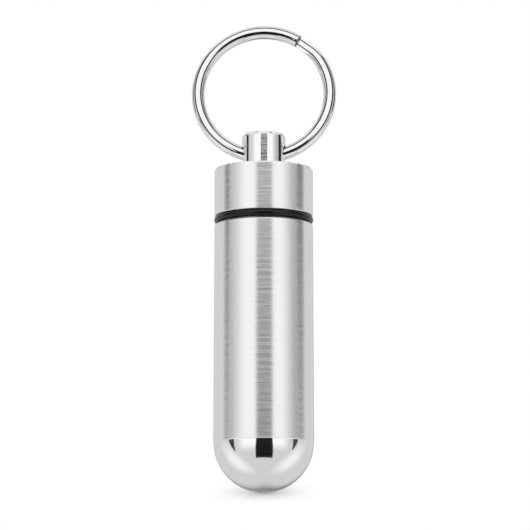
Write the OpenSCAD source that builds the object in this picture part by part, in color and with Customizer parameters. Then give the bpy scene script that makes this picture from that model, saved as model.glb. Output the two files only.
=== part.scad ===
// Pill fob keychain: a turned aluminium capsule with a screw cap, a rubber seal
// and a split ring that hangs in a cross hole through the post on the cap.
// Millimetres, +Z up. The origin is the centre of the split ring, where keys go.

/* [Capsule] */
// Outer diameter of the cap and of the capsule's upper edge
capsule_d = 17; // [15:0.5:22]
// Height of the straight brushed wall, from the dome up to the shoulder
wall_h = 37.7; // [20:0.1:70]
// Draft of that wall, by which it widens towards the dome, in degrees
wall_draft = 0.2; // [0:0.05:0.5]
// Width of the shoulder round the neck, which the seal lies over
shoulder_w = 1.5; // [1.2:0.1:2.2]
// Thickness of the neck inside the thread's root
neck_wall = 0.7; // [0.5:0.1:1.2]
// Thickness of the dome below the chamber
dome_wall = 2.7; // [1.5:0.1:4]
// Chamfer on the capsule's upper edge
capsule_chamfer = 0.25; // [0.1:0.05:0.5]

/* [Cap] */
// Height of the cap without its post
cap_h = 8.3; // [7.5:0.1:14]
// Chamfer on the cap's upper edge
cap_top_chamfer = 0.3; // [0.1:0.05:0.6]
// Chamfer on the cap's lower edge
cap_low_chamfer = 0.2; // [0.1:0.05:0.4]
// Free space above the neck inside the closed cap
cap_headroom = 0.6; // [0.3:0.1:1.5]
// Radial clearance between the neck's thread crest and the cap's bore
thread_clear = 0.1; // [0.05:0.01:0.2]
// Chamfer inside the cap's mouth, which leads it onto the neck
cap_lead = 0.25; // [0.1:0.05:0.4]

/* [Thread] */
// Depth of the neck's thread, which the plain neck stands for
thread_depth = 0.5; // [0.3:0.05:0.7]
// Length of the neck that the closed cap holds
thread_h = 5; // [3.5:0.1:6]
// Chamfer that leads the neck into the cap
neck_chamfer = 0.4; // [0.2:0.05:0.6]
// Chamfer inside the chamber's mouth
chamber_chamfer = 0.25; // [0.1:0.05:0.4]

/* [Seal] */
// Thickness of the rubber ring
seal_w = 1.2; // [1:0.05:1.8]
// Free room left between the seal and the shoulder with the cap closed
seal_room = 0.27; // [0.1:0.01:0.6]
// Clearance between the seal and the pieces that it touches
seal_clear = 0.03; // [0.02:0.01:0.08]
// Step of the plain seat above the thread's crest, on the radius
seat_step = 0.35; // [0.1:0.05:0.45]

/* [Post] */
// Diameter of the post on the cap
post_d = 7.5; // [6.5:0.1:10]
// Metal left above the cross hole
eye_wall = 1.9; // [1:0.1:3]
// Height of the cross hole's underside above the cap
eye_foot = 1.1; // [0.8:0.1:3]
// Bevel that breaks the edge of the cross hole
eye_break = 0.2; // [0.05:0.05:0.3]
// Chamfer on the post's upper edge
post_chamfer = 0.55; // [0.1:0.05:0.7]

/* [Split ring] */
// Outer diameter of the split ring
ring_d = 25.2; // [20:0.2:35]
// Thickness of the two turns together, as a round section
wire_d = 2.2; // [1.8:0.1:3]
// Gap between the flat sides of the two turns
turn_gap = 0.06; // [0.04:0.01:0.12]
// Radial clearance of the wire in the cross hole
eye_clear = 0.06; // [0.04:0.01:0.15]
// Room left in the cross hole beyond the tightest fit of the bent wire
eye_play = 0.09; // [0:0.01:0.6]
// Angle by which the ring leans back from the capsule's axis
ring_lean = 8; // [0:1:40]
// Where the front turn ends, counted anticlockwise from the right
end_angle = 59; // [40:1:140]
// Width of the open notch between that end and the crossover
notch_angle = 6; // [3:1:12]
// Length of the crossover from the front turn to the back turn
cross_angle = 20; // [14:1:40]

/* [Hidden] */

// Faces round a full turn of a lathe shape
ROUND = 96;
// Faces round a small bore
BORE_ROUND = 48;
// A cut runs this far past the face that it opens
PAST = 1;

// Split ring and post: radii
wire_r = wire_d / 2;
ring_r = ring_d / 2 - wire_r;
post_r = post_d / 2;

// How far the wire's centre line has risen at a distance from the post's axis
function rise(x) = ring_r - sqrt(pow(ring_r, 2) - pow(x, 2));
// Half the wire's height there, which grows as the wire slopes
function half_height(x) = wire_r / cos(asin(x / ring_r));

// Cross hole: wide enough for the bent wire, which rests on its underside
tight_r = (wire_r + rise(post_r) + half_height(post_r)) / 2;
eye_r = tight_r + eye_play + eye_clear;
sink = eye_r - eye_clear - wire_r;
eye_drop = ring_r - sink;
eye_at = [0, -eye_drop * sin(ring_lean), -eye_drop * cos(ring_lean)];

// Heights on the capsule's axis, counted from the cross hole's axis, the hinge
post_top = eye_r + eye_wall;
cap_top = -eye_r - eye_foot;
cap_low = cap_top - cap_h;
shoulder = cap_low - seal_clear - seal_w - seal_room;
neck_top = cap_low + thread_h;
dome_at = shoulder - wall_h;
dome_r = capsule_d / 2 + wall_h * tan(wall_draft);
dome_low = dome_at - dome_r;

// Radii on the capsule's axis
capsule_r = capsule_d / 2;
neck_r = capsule_r - shoulder_w;
seat_r = neck_r + seat_step;
chamber_r = neck_r - thread_depth - neck_wall;
// Height at which the chamber turns into its round end
chamber_end = dome_low + dome_wall + chamber_r;
cap_bore_r = neck_r + thread_clear;
seal_mid_r = seat_r + seal_clear + seal_w / 2;
seal_mid = cap_low - seal_clear - seal_w / 2;

// Turned outline from the axis to a chamfered rim, between two heights
module turned(r, low, high, low_chamfer, high_chamfer) {
    rotate_extrude($fn = ROUND)
        polygon([
            [0, low], [r - low_chamfer, low], [r, low + low_chamfer],
            [r, high - high_chamfer], [r - high_chamfer, high], [0, high]
        ]);
}

// Brushed wall of the capsule, which widens from its chamfered upper edge down to the dome
module drafted_wall() {
    rotate_extrude($fn = ROUND)
        polygon([
            [0, dome_at], [dome_r, dome_at], [capsule_r, shoulder - capsule_chamfer],
            [capsule_r - capsule_chamfer, shoulder], [0, shoulder]
        ]);
}

// Cone that breaks the edge of a bore where it opens at a height, up (1) or down (-1)
module countersink(r, mouth, size, way) {
    translate([0, 0, mouth - way * size])
        mirror([0, 0, way < 0 ? 1 : 0])
            cylinder(r1 = r, r2 = r + size + PAST, h = size + PAST, $fn = ROUND);
}

// Cross hole along X, with its edge broken at each side
module cross_hole() {
    rotate([0, 90, 0]) cylinder(r = eye_r, h = post_d + 2 * PAST, center = true, $fn = BORE_ROUND);
    for (side = [-90, 90])
        rotate([0, side, 0])
            countersink(eye_r, post_r, eye_break, 1);
}

// One pressed turn: half of the round section, with its flat side inwards
module half_section() {
    intersection() {
        circle(r = wire_r, $fn = BORE_ROUND);
        translate([-wire_r, turn_gap / 2]) square([wire_d, wire_r]);
    }
}

// Angles of the crossover on the ring
cross_end = end_angle - notch_angle;
cross_start = cross_end - cross_angle;
// Angle over which the crossover's mesh runs into each turn
CROSS_LAP = 2;
// Shrink of that mesh, which keeps its faces off the turns' own
CROSS_SHRINK = 0.004;
CROSS_STEPS = 20;
SECTION_STEPS = 12;
EDGE_ANGLE = 84;

// Share of the way from the front turn to the back turn at an angle
function crossed(a) =
    let (s = max(0, min(1, (a - cross_start) / cross_angle)))
    s * s * (3 - 2 * s);

// Section of the crossover: its front face turns flat as its back face fills out
function cross_section(s) =
    let (r = wire_r - CROSS_SHRINK, flat_at = turn_gap / 2 + CROSS_SHRINK)
    concat(
        [for (i = [0:SECTION_STEPS])
            let (b = EDGE_ANGLE * (2 * i / SECTION_STEPS - 1))
            [r * sin(b), (1 - s) * r * cos(b) - s * flat_at]],
        [for (i = [SECTION_STEPS:-1:0])
            let (b = EDGE_ANGLE * (2 * i / SECTION_STEPS - 1))
            [r * sin(b), (1 - s) * flat_at - s * r * cos(b)]]
    );

// The wire between its two turns, swept through the crossover
module crossover() {
    first = cross_start - CROSS_LAP;
    last = cross_end + CROSS_LAP;
    n = 2 * (SECTION_STEPS + 1);
    points = [
        for (i = [0:CROSS_STEPS])
            let (a = first + (last - first) * i / CROSS_STEPS)
            for (p = cross_section(crossed(a)))
                [(ring_r + p.x) * cos(a), (ring_r + p.x) * sin(a), p.y]
    ];
    sides = [
        for (i = [0:CROSS_STEPS - 1], k = [0:n - 1])
            let (a = i * n + k, b = i * n + (k + 1) % n)
            each [[a, a + n, b + n], [a, b + n, b]]
    ];
    start_cap = [for (k = [1:n - 2]) [0, k, k + 1]];
    last_ring = CROSS_STEPS * n;
    end_cap = [for (k = [1:n - 2]) [last_ring, last_ring + k + 1, last_ring + k]];
    polyhedron(points, concat(sides, start_cap, end_cap));
}

// Split ring: one wire, pressed flat to flat, with a front end and a back end
module split_ring() {
    turn = 360 - notch_angle - cross_angle;
    color("gainsboro")
        rotate([90 - ring_lean, 0, 0]) {
            rotate([0, 0, end_angle])
                rotate_extrude(angle = turn, $fn = ROUND)
                    translate([ring_r, 0]) half_section();
            rotate([0, 0, cross_end])
                rotate_extrude(angle = turn, $fn = ROUND)
                    translate([ring_r, 0]) mirror([0, 1]) half_section();
            crossover();
        }
}

// Screw cap with the post that carries the ring, turned from one bar
module cap() {
    color("silver")
        translate(eye_at)
            difference() {
                union() {
                    turned(capsule_r, cap_low, cap_top, cap_low_chamfer, cap_top_chamfer);
                    turned(post_r, cap_top - PAST, post_top, 0, post_chamfer);
                }
                cross_hole();
                turned(cap_bore_r, cap_low - PAST, neck_top + cap_headroom, 0, 0);
                countersink(cap_bore_r, cap_low, cap_lead, -1);
            }
}

// Rubber seal that the closed cap presses towards the shoulder
module o_ring() {
    color("dimgray")
        translate(eye_at)
            translate([0, 0, seal_mid])
                rotate_extrude($fn = ROUND)
                    translate([seal_mid_r, 0]) circle(r = seal_w / 2, $fn = BORE_ROUND);
}

// Capsule: brushed wall, polished dome, plain seat, neck and the chamber for pills
module capsule() {
    color("lightgray")
        translate(eye_at)
            difference() {
                union() {
                    drafted_wall();
                    turned(seat_r, shoulder - PAST, cap_low - seal_clear, 0, seat_step);
                    turned(neck_r, shoulder - PAST, neck_top, 0, neck_chamfer);
                    translate([0, 0, dome_at]) sphere(r = dome_r, $fn = ROUND);
                }
                turned(chamber_r, chamber_end, neck_top + PAST, 0, 0);
                countersink(chamber_r, neck_top, chamber_chamfer, 1);
                translate([0, 0, chamber_end]) sphere(r = chamber_r, $fn = ROUND);
            }
}

split_ring();
cap();
o_ring();
capsule();
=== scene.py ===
"""Pill fob keychain, dressed for its photograph.

Four turned or wound pieces stand for the frame's four nodes, and two threads are added that the
frame leaves out. Sizes are in metres, in the frame's own axes, written as millimetres times MM.
"""
import math
import bmesh
import bpy
from mathutils import Matrix, Vector


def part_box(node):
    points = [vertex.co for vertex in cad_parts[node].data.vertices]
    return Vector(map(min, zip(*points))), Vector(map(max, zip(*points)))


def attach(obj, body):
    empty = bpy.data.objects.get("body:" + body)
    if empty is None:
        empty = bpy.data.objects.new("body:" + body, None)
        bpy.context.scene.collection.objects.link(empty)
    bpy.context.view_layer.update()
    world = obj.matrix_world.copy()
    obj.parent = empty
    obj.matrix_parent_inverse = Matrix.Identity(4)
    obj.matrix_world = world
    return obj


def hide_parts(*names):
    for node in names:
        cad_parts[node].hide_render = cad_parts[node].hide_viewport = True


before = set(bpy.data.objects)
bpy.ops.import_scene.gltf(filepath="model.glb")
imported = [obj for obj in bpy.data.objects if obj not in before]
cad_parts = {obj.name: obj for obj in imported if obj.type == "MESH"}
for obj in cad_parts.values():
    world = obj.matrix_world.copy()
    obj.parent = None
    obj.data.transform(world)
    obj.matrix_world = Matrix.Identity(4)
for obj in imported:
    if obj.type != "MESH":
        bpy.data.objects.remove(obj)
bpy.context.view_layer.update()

MM = 0.001

# Heights and radii that the frame's own boxes give
capsule_low, capsule_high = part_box("capsule")
cap_low, cap_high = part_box("cap")
seal_low, seal_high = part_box("o_ring")
ring_low, ring_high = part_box("split_ring")

AXIS_Y = (cap_low.y + cap_high.y) / 2
BODY_R = (cap_high.x - cap_low.x) / 2
DOME_R = (capsule_high.x - capsule_low.x) / 2
POST_TOP = cap_high.z
CAP_LOW = cap_low.z
NECK_TOP = capsule_high.z
DOME_LOW = capsule_low.z

# Post and its eye, the cross hole, with the metal above it and its rise over the cap
POST_R = 3.75 * MM
POST_CHAMFER = 0.55 * MM
POST_FILLET = 0.2 * MM
EYE_R = 1.5961 * MM
EYE_BREAK = 0.2 * MM
EYE_WALL = 1.9 * MM
EYE_RISE = 1.1 * MM
EYE_AT = POST_TOP - EYE_WALL - EYE_R
DRILL_REACH = 1 * MM

# Cap
CAP_TOP = EYE_AT - EYE_R - EYE_RISE
CAP_BORE_R = 7.1 * MM
CAP_HEADROOM = 0.6 * MM
CAP_TOP_CHAMFER = 0.3 * MM
CAP_LOW_CHAMFER = 0.2 * MM
CAP_LEAD = 0.25 * MM
EDGE_ROUND = 0.15 * MM

# Capsule: the dome's polish stops at a fine step below the brushed wall
DOME_AT = DOME_LOW + DOME_R
DOME_WALL = 2.7 * MM
POLISH_DROP = 0.1 * MM
POLISH_LINE = DOME_AT - POLISH_DROP
POLISH_STEP = 0.06 * MM
POLISH_BEVEL = 0.1 * MM
BODY_CHAMFER = 0.25 * MM
SEAL_GAP = 1.5 * MM
SHOULDER = CAP_LOW - SEAL_GAP
SEAL_CLEAR = 0.03 * MM
SEAT_R = 7.35 * MM
SEAT_TOP = CAP_LOW - SEAL_CLEAR
CORE_R = 6.5 * MM
NECK_CHAMFER = 0.4 * MM
CHAMBER_R = 5.8 * MM
CHAMBER_CHAMFER = 0.25 * MM

# Thread: the ridge on the neck, and the cap's own between its turns
LEAD = 1.25 * MM
RIDGE_DEPTH = 0.5 * MM
RIDGE_FOOT = 0.75 * MM
RIDGE_CREST = 0.25 * MM
RIDGE_BURY = 0.05 * MM
RIDGE_START = 0.6 * MM
RIDGE_LOW = CAP_LOW + RIDGE_START
RIDGE_TURNS = 3

# Seal
SEAL_R = (seal_high.z - seal_low.z) / 2
SEAL_MID_R = (seal_high.x - seal_low.x) / 2 - SEAL_R
SEAL_AT = (seal_low.z + seal_high.z) / 2

# Split ring, with its angles counted anticlockwise from the right, seen from the front
WIRE_R = 1.1 * MM
RING_R = (ring_high.x - ring_low.x) / 2 - WIRE_R
TURN_GAP = 0.06 * MM
RING_LEAN = math.radians(8)
END_ANGLE = math.radians(59)
NOTCH_ANGLE = math.radians(6)
CROSS_ANGLE = math.radians(20)
END_BEVEL = 0.08 * MM

# The wire's half-round section, from corner to corner, with two fine grooves along it whose
# near-black colour is a painted dark reflection
CORNER_ANGLE = math.radians(84)
LINE_ANGLE = math.radians(26.5)
LINE_HALF_WIDTH = math.radians(6)
LINE_DEPTH = 0.05 * MM

# How finely the pieces are made
TURN_STEPS = 144
ARC_STEP = math.radians(3)
WALL_ROWS = 12
CAP_ROWS = 4
POST_ROWS = 24
SEAL_STEPS = 48
WIRE_STEP = math.radians(2)
SECTION_STEPS = 24
CROSS_STEPS = 24
END_BEVEL_STEPS = 3
THREAD_STEPS = 72
SHARP_ANGLE = math.radians(28)
WELD = 0.0005 * MM

# Each finish's place among a piece's finishes
# The last finish, in the drilled hole and its broken edge, is painted shade and painted dark
# reflection.
BRUSHED, POLISHED, MACHINED, SATIN, HOLE_PAINTED_SHADE = range(5)
# On the ring, the second finish is bare metal of the sheared ends, darkened further with painted
# shade.
# On the ring, the third finish is a painted dark reflection in the wire's grooves.
PLATED, SHEARED_END_SHADE, GROOVE_PAINTED_DARK = range(3)

ABOUT_Z = {"cent": (0, 0, 0), "axis": (0, 0, 1)}


def new_piece(name, bm, finishes):
    """Turns a bmesh into a smooth-shaded object whose hard edges stay crisp."""
    mesh = bpy.data.meshes.new(name)
    bm.to_mesh(mesh)
    bm.free()
    mesh.polygons.foreach_set("use_smooth", [True] * len(mesh.polygons))
    mesh.set_sharp_from_angle(angle=SHARP_ANGLE)
    for finish in finishes:
        mesh.materials.append(finish)
    piece = bpy.data.objects.new(name, mesh)
    bpy.context.scene.collection.objects.link(piece)
    return piece


def corner(centre_r, centre_z, radius, start, end):
    """Outline points (radius, height) round a centre, by angle above the level."""
    steps = max(2, round(abs(end - start) / ARC_STEP))
    angles = [start + (end - start) * k / steps for k in range(steps + 1)]
    return [(centre_r + radius * math.cos(a), centre_z + radius * math.sin(a)) for a in angles]


def arc(centre_z, radius, start, end):
    """Outline points round a centre on the axis."""
    return corner(0, centre_z, radius, start, end)


def rows(start, end, count):
    """Evenly spaced outline points between two points."""
    return [
        (start[0] + (end[0] - start[0]) * k / count, start[1] + (end[1] - start[1]) * k / count)
        for k in range(count + 1)
    ]


def chamfered_rim(radius, top, chamfer):
    """Outline of an upper rim: a chamfer at 45 degrees whose inner edge is slightly rounded."""
    inner = radius - chamfer - EDGE_ROUND * math.tan(math.pi / 8)
    rounded = corner(inner, top - EDGE_ROUND, EDGE_ROUND, math.pi / 4, math.pi / 2)
    return [(radius, top - chamfer)] + rounded


def spin_outline(bm, points, finish):
    """Spins an open outline round the Z axis, in one finish, and adds it to a bmesh."""
    strip = bmesh.new()
    verts = [strip.verts.new((r, 0, z)) for r, z in points]
    edges = [strip.edges.new(pair) for pair in zip(verts, verts[1:])]
    bmesh.ops.spin(
        strip, geom=verts + edges, angle=2 * math.pi, steps=TURN_STEPS, use_merge=True, **ABOUT_Z
    )
    for face in strip.faces:
        face.material_index = finish
    mesh = bpy.data.meshes.new("strip")
    strip.to_mesh(mesh)
    strip.free()
    bm.from_mesh(mesh)
    bpy.data.meshes.remove(mesh)


def turn_on_lathe(name, strips, finishes):
    """A turned piece from strips (outline points, finish) that meet end to end."""
    bm = bmesh.new()
    for points, finish in strips:
        spin_outline(bm, points, finish)
    bmesh.ops.remove_doubles(bm, verts=bm.verts, dist=WELD)
    bmesh.ops.dissolve_degenerate(bm, edges=bm.edges, dist=WELD)
    bmesh.ops.recalc_face_normals(bm, faces=bm.faces)
    bmesh.ops.translate(bm, verts=bm.verts, vec=(0, AXIS_Y, 0))
    return new_piece(name, bm, finishes)


def make_capsule(brushed, polished, machined):
    """Dome, wall, shoulder and neck, and then back down through the chamber."""
    dome_r = DOME_R - POLISH_STEP
    polish_ends = math.asin((POLISH_LINE - DOME_AT) / dome_r)
    wall_low = POLISH_LINE + POLISH_BEVEL
    wall_high = SHOULDER - BODY_CHAMFER
    rim = BODY_R - BODY_CHAMFER
    chamber_end = DOME_LOW + DOME_WALL + CHAMBER_R
    neck_and_bore = [
        (rim, SHOULDER), (SEAT_R, SHOULDER), (SEAT_R, SEAT_TOP - (SEAT_R - CORE_R) / 2),
        (CORE_R, SEAT_TOP), (CORE_R, NECK_TOP - NECK_CHAMFER), (CORE_R - NECK_CHAMFER, NECK_TOP),
        (CHAMBER_R + CHAMBER_CHAMFER / 2, NECK_TOP), (CHAMBER_R, NECK_TOP - CHAMBER_CHAMFER),
        (CHAMBER_R, chamber_end),
    ]
    strips = [
        (arc(DOME_AT, dome_r, -math.pi / 2, polish_ends), POLISHED),
        ([(dome_r, POLISH_LINE), (DOME_R, wall_low)], POLISHED),
        (rows((DOME_R, wall_low), (BODY_R, wall_high), WALL_ROWS), BRUSHED),
        (corner(rim, wall_high, BODY_CHAMFER, 0, math.pi / 2), BRUSHED),
        (neck_and_bore, MACHINED),
        (arc(chamber_end, CHAMBER_R, 0, -math.pi / 2), MACHINED),
    ]
    piece = turn_on_lathe("capsule_body", strips, [brushed, polished, machined])
    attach(piece, "capsule")
    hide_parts("capsule")


def make_cap(brushed, polished, machined, satin, drilled):
    """Bore, wall, top and post, with the cross hole drilled last."""
    ceiling = NECK_TOP + CAP_HEADROOM
    low_edge = BODY_R - CAP_LOW_CHAMFER
    wall_low = CAP_LOW + CAP_LOW_CHAMFER
    bore = [
        (0, ceiling), (CAP_BORE_R, ceiling), (CAP_BORE_R, CAP_LOW + CAP_LEAD),
        (CAP_BORE_R + CAP_LEAD, CAP_LOW), (low_edge, CAP_LOW),
    ]
    cap_rim = chamfered_rim(BODY_R, CAP_TOP, CAP_TOP_CHAMFER)
    post_rim = chamfered_rim(POST_R, POST_TOP, POST_CHAMFER)
    fillet = corner(
        POST_R + POST_FILLET, CAP_TOP + POST_FILLET, POST_FILLET, -math.pi / 2, -math.pi
    )
    strips = [
        (bore, MACHINED),
        (corner(low_edge, wall_low, CAP_LOW_CHAMFER, -math.pi / 2, 0), BRUSHED),
        (rows((BODY_R, wall_low), cap_rim[0], CAP_ROWS), BRUSHED),
        (cap_rim, POLISHED),
        ([cap_rim[-1], fillet[0]], BRUSHED),
        (fillet, SATIN),
        (rows(fillet[-1], post_rim[0], POST_ROWS), SATIN),
        (post_rim, POLISHED),
        ([post_rim[-1], (0, POST_TOP)], SATIN),
    ]
    finishes = [brushed, polished, machined, satin, drilled]
    piece = turn_on_lathe("cap_and_post", strips, finishes)
    drill_eye(piece)
    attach(piece, "cap")
    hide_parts("cap")


def drill_eye(piece):
    """Cuts the cross hole through the post, with its edge broken at each side."""
    inner, outer = POST_R - EYE_BREAK, POST_R + DRILL_REACH
    flare = EYE_R + outer - inner
    bm = bmesh.new()
    # The hole and its broken edge take a finish painted dark, as painted shade and painted dark
    # reflection.
    for side in (-1, 1):
        cone = [(0, side * outer), (flare, side * outer), (EYE_R, side * inner)]
        spin_outline(bm, cone, HOLE_PAINTED_SHADE)
    spin_outline(bm, [(EYE_R, -inner), (EYE_R, inner)], HOLE_PAINTED_SHADE)
    bmesh.ops.remove_doubles(bm, verts=bm.verts, dist=WELD)
    bmesh.ops.recalc_face_normals(bm, faces=bm.faces)
    bmesh.ops.rotate(bm, verts=bm.verts, matrix=Matrix.Rotation(math.pi / 2, 3, "Y"))
    bmesh.ops.translate(bm, verts=bm.verts, vec=(0, AXIS_Y, EYE_AT))
    drill = new_piece("drill", bm, [])
    cut = piece.modifiers.new("eye", "BOOLEAN")
    cut.operation = "DIFFERENCE"
    cut.solver = "EXACT"
    cut.object = drill
    bpy.context.view_layer.update()
    evaluated = piece.evaluated_get(bpy.context.evaluated_depsgraph_get())
    cut_mesh = bpy.data.meshes.new_from_object(evaluated)
    piece.modifiers.clear()
    piece.data = cut_mesh
    bpy.data.objects.remove(drill)
    cut_mesh.set_sharp_from_angle(angle=SHARP_ANGLE)


def make_seal(rubber):
    """A round rubber section, spun about the capsule's axis."""
    bm = bmesh.new()
    bmesh.ops.create_circle(bm, segments=SEAL_STEPS, radius=SEAL_R)
    bmesh.ops.rotate(bm, verts=bm.verts, matrix=Matrix.Rotation(math.pi / 2, 3, "X"))
    bmesh.ops.translate(bm, verts=bm.verts, vec=(SEAL_MID_R, 0, SEAL_AT))
    section = bm.verts[:] + bm.edges[:]
    bmesh.ops.spin(
        bm, geom=section, angle=2 * math.pi, steps=TURN_STEPS, use_merge=True, **ABOUT_Z
    )
    bmesh.ops.remove_doubles(bm, verts=bm.verts, dist=WELD)
    bmesh.ops.recalc_face_normals(bm, faces=bm.faces)
    bmesh.ops.translate(bm, verts=bm.verts, vec=(0, AXIS_Y, 0))
    piece = new_piece("rubber_seal", bm, [rubber])
    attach(piece, "seal")
    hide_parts("o_ring")


def join_round(bm, verts):
    """Edges that join vertices in a closed loop."""
    return [bm.edges.new((v, verts[(k + 1) % len(verts)])) for k, v in enumerate(verts)]


def split_geometry(geometry):
    """The vertices and the edges in what an operator returns."""
    verts = [g for g in geometry if isinstance(g, bmesh.types.BMVert)]
    edges = [g for g in geometry if isinstance(g, bmesh.types.BMEdge)]
    return verts, edges


def make_thread(name, body, foot_r, crest_r, phase, finish):
    """A right-hand ridge wound round the axis, whose ends run down into its foot."""
    bm = bmesh.new()
    bury = math.copysign(RIDGE_BURY, foot_r - crest_r)
    corners = [
        (foot_r + bury, -RIDGE_FOOT / 2), (crest_r, -RIDGE_CREST / 2),
        (crest_r, RIDGE_CREST / 2), (foot_r + bury, RIDGE_FOOT / 2),
    ]
    first = [bm.verts.new((r, 0, RIDGE_LOW + z)) for r, z in corners]
    loop = join_round(bm, first)
    bmesh.ops.rotate(bm, verts=first, matrix=Matrix.Rotation(phase, 3, "Z"))
    wound = bmesh.ops.spin(
        bm, geom=first + loop, dvec=(0, 0, LEAD / THREAD_STEPS),
        angle=2 * math.pi * RIDGE_TURNS, steps=RIDGE_TURNS * THREAD_STEPS, **ABOUT_Z
    )
    last, _ = split_geometry(wound["geom_last"])
    for end in (first, last):
        bm.faces.new(end)
        for v in end:
            flat = Vector((v.co.x, v.co.y, 0)).normalized() * (foot_r + bury / 2)
            v.co = Vector((flat.x, flat.y, v.co.z))
    bmesh.ops.recalc_face_normals(bm, faces=bm.faces)
    bmesh.ops.translate(bm, verts=bm.verts, vec=(0, AXIS_Y, 0))
    piece = new_piece(name, bm, [finish])
    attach(piece, body)


def half_round():
    """Angles from edge to edge of the half-round wire, with three at each groove."""
    even = [CORNER_ANGLE * (2 * k / SECTION_STEPS - 1) for k in range(SECTION_STEPS + 1)]
    plain = [b for b in even if abs(abs(b) - LINE_ANGLE) > LINE_HALF_WIDTH]
    across = (-LINE_HALF_WIDTH, 0, LINE_HALF_WIDTH)
    return sorted(plain + [side * (LINE_ANGLE + step) for side in (-1, 1) for step in across])


def wire_section(share):
    """The wire's section, from the front half round (0) to the back half round (1)."""
    flat_at = TURN_GAP / 2
    outline = []
    for b in half_round():
        r = WIRE_R - LINE_DEPTH if abs(b) == LINE_ANGLE else WIRE_R
        outline.append((r * math.sin(b), r * math.cos(b)))
    front = [(out, (1 - share) * high - share * flat_at) for out, high in outline]
    back = [(out, (1 - share) * flat_at - share * high) for out, high in reversed(outline)]
    return front + back


def place_section(verts, share, angle):
    """Moves vertices, in the section's order, to the wire's section at an angle."""
    for v, (out, up) in zip(verts, wire_section(share)):
        v.co = ((RING_R + out) * math.cos(angle), (RING_R + out) * math.sin(angle), up)


def eased(share):
    """A share that sets off and arrives gently."""
    return share * share * (3 - 2 * share)


def make_ring(plated, sheared, drawn):
    """Winds one wire twice round, from its front end over the crossover to its back end."""
    bm = bmesh.new()
    order = bm.verts.layers.int.new("order")
    turn = 2 * math.pi - NOTCH_ANGLE - CROSS_ANGLE
    steps = round(turn / WIRE_STEP)
    first = [bm.verts.new() for _ in wire_section(0)]
    place_section(first, 0, END_ANGLE)
    for k, v in enumerate(first):
        v[order] = k
    loop = join_round(bm, first)
    wound = bmesh.ops.spin(bm, geom=first + loop, angle=turn, steps=steps, **ABOUT_Z)
    last, loop = split_geometry(wound["geom_last"])
    for k in range(1, CROSS_STEPS + 1):
        along = k / CROSS_STEPS
        grown = bmesh.ops.extrude_edge_only(bm, edges=loop)
        last, loop = split_geometry(grown["geom"])
        last.sort(key=lambda v: v[order])
        place_section(last, eased(along), END_ANGLE + turn + CROSS_ANGLE * along)
    wound = bmesh.ops.spin(bm, geom=last + loop, angle=turn, steps=steps, **ABOUT_Z)
    last, _ = split_geometry(wound["geom_last"])
    last.sort(key=lambda v: v[order])
    angles = half_round()
    lines = {k for k, b in enumerate(angles + angles[::-1]) if abs(b) == LINE_ANGLE}
    for face in bm.faces:
        on_line = any(v[order] in lines for v in face.verts)
        # Faces at the grooves take the near-black finish, a painted dark reflection.
        face.material_index = GROOVE_PAINTED_DARK if on_line else PLATED
    ends = [bm.faces.new(first), bm.faces.new(last)]
    # The sheared ends take bare metal darkened further with painted shade.
    for end in ends:
        end.material_index = SHEARED_END_SHADE
    bmesh.ops.recalc_face_normals(bm, faces=bm.faces)
    rims = [edge for end in ends for edge in end.edges]
    bmesh.ops.bevel(
        bm, geom=rims, offset=END_BEVEL, affect="EDGES", segments=END_BEVEL_STEPS,
        profile=0.5, material=-1,
    )
    tip = Matrix.Rotation(math.pi / 2 - RING_LEAN, 3, "X")
    bmesh.ops.rotate(bm, verts=bm.verts, cent=(0, 0, 0), matrix=tip)
    piece = new_piece("key_ring", bm, [plated, sheared, drawn])
    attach(piece, "ring")
    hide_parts("split_ring")


def grey(tone):
    """A plain grey as a colour socket takes it."""
    return (tone, tone, tone, 1)


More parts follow.
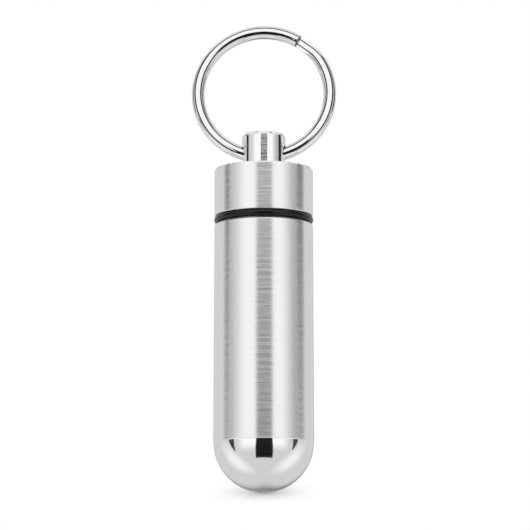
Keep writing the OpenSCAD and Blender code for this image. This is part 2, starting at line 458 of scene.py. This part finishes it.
class Finish:
    """A material under construction, with short ways to add and wire its nodes."""

    def __init__(self, name):
        self.material = bpy.data.materials.new(name)
        self.material.use_nodes = True
        self.tree = self.material.node_tree
        self.shader = self.tree.nodes["Principled BSDF"]

    def node(self, kind, **settings):
        made = self.tree.nodes.new(kind)
        for key, value in settings.items():
            setattr(made, key, value)
        return made

    def wire(self, source, target):
        self.tree.links.new(source, target)

    def give(self, value, socket):
        """Wires a socket, or sets it where the value is plain."""
        if isinstance(value, (int, float, tuple)):
            socket.default_value = value
        else:
            self.wire(value, socket)

    def set(self, **values):
        """Sets or wires the shader's sockets by name."""
        for key, value in values.items():
            self.give(value, self.shader.inputs[key.replace("_", " ")])

    def math(self, operation, a, b=0.0):
        made = self.node("ShaderNodeMath", operation=operation)
        self.give(a, made.inputs[0])
        self.give(b, made.inputs[1])
        return made.outputs[0]

    def object_point(self):
        """Object coordinates."""
        return self.node("ShaderNodeTexCoord").outputs["Object"]

    def from_point(self, point):
        """Object coordinates counted from a point."""
        centre = self.node("ShaderNodeMapping")
        centre.inputs["Location"].default_value = tuple(-v for v in point)
        self.wire(self.object_point(), centre.inputs["Vector"])
        return centre.outputs["Vector"]

    def split(self, vector):
        made = self.node("ShaderNodeSeparateXYZ")
        self.wire(vector, made.inputs[0])
        return made.outputs

    def lathe_lines(self, around, across):
        """Coordinates whose noise runs in lines round the capsule's axis, in lines per metre."""
        x, y, z = self.split(self.from_point((0, AXIS_Y, 0)))
        squares = self.math("ADD", self.math("MULTIPLY", x, x), self.math("MULTIPLY", y, y))
        radius = self.math("SQRT", squares)
        joined = self.node("ShaderNodeCombineXYZ")
        self.wire(self.math("MULTIPLY", x, around), joined.inputs[0])
        self.wire(self.math("MULTIPLY", y, around), joined.inputs[1])
        along = self.math("MULTIPLY", self.math("ADD", z, radius), across)
        self.wire(along, joined.inputs[2])
        return joined.outputs[0]

    def noise(self, vector, scale=1.0, detail=2.0):
        made = self.node("ShaderNodeTexNoise")
        made.inputs["Scale"].default_value = scale
        made.inputs["Detail"].default_value = detail
        self.wire(vector, made.inputs["Vector"])
        return made.outputs["Fac"]

    def spread(self, value, low, high, from_low=0.3, from_high=0.7, ease=False):
        """Maps a value, such as noise between 0.3 and 0.7, onto a range."""
        made = self.node("ShaderNodeMapRange")
        made.interpolation_type = "SMOOTHSTEP" if ease else "LINEAR"
        made.inputs["From Min"].default_value = from_low
        made.inputs["From Max"].default_value = from_high
        made.inputs["To Min"].default_value = low
        made.inputs["To Max"].default_value = high
        self.wire(value, made.inputs["Value"])
        return made.outputs["Result"]

    def bump(self, height, distance, under=None):
        """A normal bent by a height, over another normal where one is given."""
        made = self.node("ShaderNodeBump")
        made.inputs["Distance"].default_value = distance
        self.wire(height, made.inputs["Height"])
        if under is not None:
            self.wire(under, made.inputs["Normal"])
        return made.outputs["Normal"]

    def glow(self, colour):
        made = self.node("ShaderNodeEmission")
        self.give(colour, made.inputs["Color"])
        return made.outputs[0]

    def clear(self):
        return self.node("ShaderNodeBsdfTransparent").outputs[0]

    def blend(self, share, a, b):
        """Mixes two shaders."""
        made = self.node("ShaderNodeMixShader")
        self.give(share, made.inputs[0])
        self.wire(a, made.inputs[1])
        self.wire(b, made.inputs[2])
        return made.outputs[0]

    def end_in(self, shader):
        """Puts another shader in the place of the usual one."""
        self.tree.nodes.remove(self.shader)
        self.wire(shader, self.tree.nodes["Material Output"].inputs["Surface"])


FINE_LINE_DEPTH = 0.01 * MM
RUBBER_GRAIN_DEPTH = 0.002 * MM
PLATE_COLOUR = (0.94, 0.93, 0.915, 1)


def metal(name, colour):
    f = Finish(name)
    f.set(Base_Color=colour, Metallic=1.0)
    return f


def brushed_aluminium(name, low, high, drawn_out, coarse_depth):
    """Brushed round on the lathe: fine lines, with the gloss drawn out up and down."""
    f = metal(name, grey(0.95))
    tangent = f.node("ShaderNodeTangent", direction_type="RADIAL", axis="Z")
    f.set(Tangent=tangent.outputs["Tangent"])
    f.set(Anisotropic=drawn_out, Anisotropic_Rotation=0.25)
    fine = f.noise(f.lathe_lines(around=250, across=6000))
    coarse = f.noise(f.lathe_lines(around=110, across=1500))
    f.set(Roughness=f.spread(fine, low, high))
    f.set(Normal=f.bump(coarse, coarse_depth, under=f.bump(fine, FINE_LINE_DEPTH)))
    return f.material


def polished_aluminium():
    f = metal("polished_aluminium", grey(0.95))
    fine = f.noise(f.lathe_lines(around=60, across=6000))
    f.set(Roughness=f.spread(fine, low=0.05, high=0.10))
    return f.material


def machined_aluminium():
    f = metal("machined_aluminium", grey(0.80))
    lines = f.noise(f.lathe_lines(around=20, across=7000))
    f.set(Roughness=f.spread(lines, low=0.25, high=0.4))
    f.set(Normal=f.bump(lines, FINE_LINE_DEPTH))
    return f.material


def nickel_plate():
    f = metal("nickel_plate", PLATE_COLOUR)
    cloud = f.noise(f.object_point(), scale=900.0, detail=3.0)
    f.set(Roughness=f.spread(cloud, low=0.04, high=0.09))
    return f.material


def metal_painted_dark(name, tone):
    """Metal painted dark as painted shade and painted dark reflection, for a drilled hole, a fine
    groove or a sheared end, whose bare metal is also darker in itself.
    """
    f = metal(name, grey(tone))
    cloud = f.noise(f.object_point(), scale=1500.0)
    f.set(Roughness=f.spread(cloud, low=0.3, high=0.5))
    return f.material


def satin_rubber():
    f = Finish("satin_rubber")
    f.set(Base_Color=grey(0.002), Specular_IOR_Level=0.35)
    grain = f.noise(f.object_point(), scale=4000.0)
    f.set(Roughness=f.spread(grain, low=0.14, high=0.2))
    f.set(Normal=f.bump(grain, RUBBER_GRAIN_DEPTH))
    return f.material


# Camera, as the photograph was taken: from a little below, and a little to the right
CAMERA_AZIMUTH = 1.64
CAMERA_ELEVATION = -9.2
CAMERA_DISTANCE = 550 * MM
CAMERA_LENS = 216.6
CAMERA_SENSOR = 36
CAMERA_NEAR = 10 * MM
CAMERA_AIM = Vector((0.22 * MM, -1.59 * MM, -30.42 * MM))


def direction(azimuth, elevation):
    """The way that two angles in degrees point: round from the camera's side to +X, and up."""
    a, e = math.radians(azimuth), math.radians(elevation)
    return Vector((math.sin(a) * math.cos(e), -math.cos(a) * math.cos(e), math.sin(e)))


def set_up_camera():
    data = bpy.data.cameras.new("camera")
    data.lens = CAMERA_LENS
    data.sensor_width = CAMERA_SENSOR
    data.clip_start = CAMERA_NEAR
    camera = bpy.data.objects.new("camera", data)
    back = direction(CAMERA_AZIMUTH, CAMERA_ELEVATION)
    camera.location = CAMERA_AIM + back * CAMERA_DISTANCE
    camera.rotation_mode = "QUATERNION"
    camera.rotation_quaternion = (-back).to_track_quat("-Z", "Y")
    bpy.context.scene.collection.objects.link(camera)
    bpy.context.scene.camera = camera


# A grey tent and the cards in it, seen in reflections alone. A card is given by its low edge
# (from, to) and high edge (from, to) in degrees round, its low and high elevation, its tone,
# and the share of it that fades out at each edge. The farthest card comes first.
STUDIO_CENTRE = Vector((0, AXIS_Y, (POST_TOP + DOME_LOW) / 2))
TENT_R = 1.0
TENT_GREY = 0.65
TENT_TOP_GREY = 0.9
TENT_SIDES = 48
CARD_DISTANCE = 0.9
CARD_SPACING = 0.01
CARD_STEPS = 12
CARDS = {
    "back_shade": ((152, 208), (152, 208), -80, 36, 0.12, 0.5),
    "back_flag": ((160, 200), (160, 200), 10, 60, 0.05, 0.3),
    "left_low_light": ((-105, -15), (-125, -88), -85, 12, 0.92, 0.45),
    "right_low_light": ((15, 105), (88, 125), -85, 12, 0.92, 0.45),
    "right_shade": ((60, 90), (60, 90), -10, 60, 0.5, 0.3),
    "front_light": ((-68, 68), (-68, 68), -28, 85, 1.0, 0.2),
    "front_flag": ((-21, 27), (-14, 20), -42, 15.5, 0.01, 0.02),
    "left_flag": ((-104, -85), (-104, -85), 0, 60, 0.02, 0.15),
    "right_flag": ((85, 110), (85, 110), 0, 60, 0.02, 0.12),
    "left_low_flag": ((-72, -70), (-87, -70), -20, 2, 0.05, 0.05),
    "right_low_flag": ((73, 75), (72, 88), -18, 2, 0.05, 0.05),
}


def only_in_reflections(piece):
    piece.visible_camera = False
    piece.visible_diffuse = False
    piece.visible_shadow = False
    piece.visible_transmission = False


def make_tent():
    """A round tent of one grey, which grows lighter overhead."""
    bm = bmesh.new()
    bmesh.ops.create_uvsphere(
        bm, u_segments=TENT_SIDES, v_segments=TENT_SIDES // 2, radius=TENT_R
    )
    bmesh.ops.translate(bm, verts=bm.verts, vec=STUDIO_CENTRE)
    f = Finish("tent_grey")
    height = f.split(f.from_point(STUDIO_CENTRE))[2]
    f.end_in(f.glow(f.spread(height, TENT_GREY, TENT_TOP_GREY, TENT_R / 2, TENT_R, ease=True)))
    only_in_reflections(new_piece("tent", bm, [f.material]))


def make_card(name, distance, low_edge, high_edge, low, high, tone, fade):
    """A card bent round the object, whose edges fade into what lies behind it."""
    bm = bmesh.new()
    bmesh.ops.create_grid(
        bm, x_segments=CARD_STEPS, y_segments=CARD_STEPS, size=0.5, calc_uvs=True
    )
    unwrapped = bm.loops.layers.uv.verify()
    for v in bm.verts:
        across, along = v.co.x + 0.5, v.co.y + 0.5
        for corner_of_face in v.link_loops:
            corner_of_face[unwrapped].uv = (across, along)
        start = low_edge[0] + (high_edge[0] - low_edge[0]) * along
        end = low_edge[1] + (high_edge[1] - low_edge[1]) * along
        way = direction(start + (end - start) * across, low + (high - low) * along)
        v.co = way * distance + STUDIO_CENTRE
    f = Finish(name)
    place = f.node("ShaderNodeTexCoord")
    mask = 1.0
    for side in f.split(place.outputs["UV"])[:2]:
        inwards = f.math("MINIMUM", side, f.math("SUBTRACT", 1.0, side))
        mask = f.math("MULTIPLY", f.spread(inwards, 0, 1, 0, fade, ease=True), mask)
    f.end_in(f.blend(mask, f.clear(), f.glow(grey(tone))))
    only_in_reflections(new_piece(name, bm, [f.material]))


# Sheet under the dome. Its shade reaches to SHADE_R, and SHADE_CLEAR is the clear share of it at
# the contact. The dome mirrors a white disc, whose fade starts at MIRRORED_CORE of its radius.
FLOOR_TILT = math.radians(17)
FLOOR_R = 0.3
FLOOR_SIDES = 64
SHADE_R = 11 * MM
SHADE_CLEAR = 0.25
MIRRORED_R = 4 * MM
MIRRORED_CORE = 0.3


def make_floor():
    """A sheet under the dome, tipped towards the camera and clear but for the contact's shade."""
    normal = Vector((0, -math.sin(FLOOR_TILT), math.cos(FLOOR_TILT)))
    contact = Vector((0, AXIS_Y, DOME_AT)) - normal * DOME_R
    bm = bmesh.new()
    bmesh.ops.create_circle(bm, cap_ends=True, segments=FLOOR_SIDES, radius=FLOOR_R)
    bmesh.ops.rotate(bm, verts=bm.verts, matrix=Matrix.Rotation(FLOOR_TILT, 3, "X"))
    bmesh.ops.translate(bm, verts=bm.verts, vec=contact)
    f = Finish("floor_white")
    length = f.node("ShaderNodeVectorMath", operation="LENGTH")
    f.wire(f.from_point(contact), length.inputs[0])
    away = length.outputs["Value"]
    diffuse = f.node("ShaderNodeBsdfDiffuse")
    f.give(grey(1.0), diffuse.inputs["Color"])
    white = diffuse.outputs[0]
    clear = f.clear()
    side = f.node("ShaderNodeNewGeometry")
    rays = f.node("ShaderNodeLightPath")
    shade_ends = f.spread(away, SHADE_CLEAR, 1, 0, SHADE_R, ease=True)
    seen = f.blend(shade_ends, white, clear)
    mirror_ends = f.spread(away, 0, 1, MIRRORED_CORE * MIRRORED_R, MIRRORED_R, ease=True)
    mirrored = f.blend(mirror_ends, white, clear)
    front = f.blend(rays.outputs["Is Glossy Ray"], seen, mirrored)
    f.end_in(f.blend(side.outputs["Backfacing"], front, clear))
    new_piece("floor", bm, [f.material])


def light_studio():
    """Plain white light from all round, with a grey tent and cards in the reflections."""
    world = bpy.data.worlds.new("studio")
    bpy.context.scene.world = world
    world.use_nodes = True
    world.node_tree.nodes["Background"].inputs["Color"].default_value = grey(1.0)
    make_tent()
    for k, (name, card) in enumerate(CARDS.items()):
        make_card(name, CARD_DISTANCE - k * CARD_SPACING, *card)
    make_floor()
    bpy.context.scene.view_settings.view_transform = "Standard"


set_up_camera()
light_studio()
brushed = brushed_aluminium(
    "brushed_aluminium", low=0.28, high=0.33, drawn_out=0.86, coarse_depth=0.045 * MM
)
satin = brushed_aluminium(
    "satin_aluminium", low=0.08, high=0.12, drawn_out=0.88, coarse_depth=0.003 * MM
)
polished = polished_aluminium()
machined = machined_aluminium()
make_capsule(brushed, polished, machined)
# The drilled hole's finish is painted shade and painted dark reflection.
make_cap(brushed, polished, machined, satin, metal_painted_dark("drilled_hole_painted_shade", tone=0.1))
make_seal(satin_rubber())
make_ring(
    # Grooves: near black, as a painted dark reflection.
    # Sheared ends: bare metal darkened further with painted shade.
    nickel_plate(), metal_painted_dark("sheared_end_painted_shade", tone=0.15), metal_painted_dark("groove_painted_dark_reflection", tone=0.02)
)
make_thread(
    "neck_thread", "capsule",
    foot_r=CORE_R, crest_r=CORE_R + RIDGE_DEPTH, phase=0, finish=machined,
)
make_thread(
    "cap_thread", "cap",
    foot_r=CAP_BORE_R, crest_r=CAP_BORE_R - RIDGE_DEPTH, phase=math.pi, finish=machined,
)
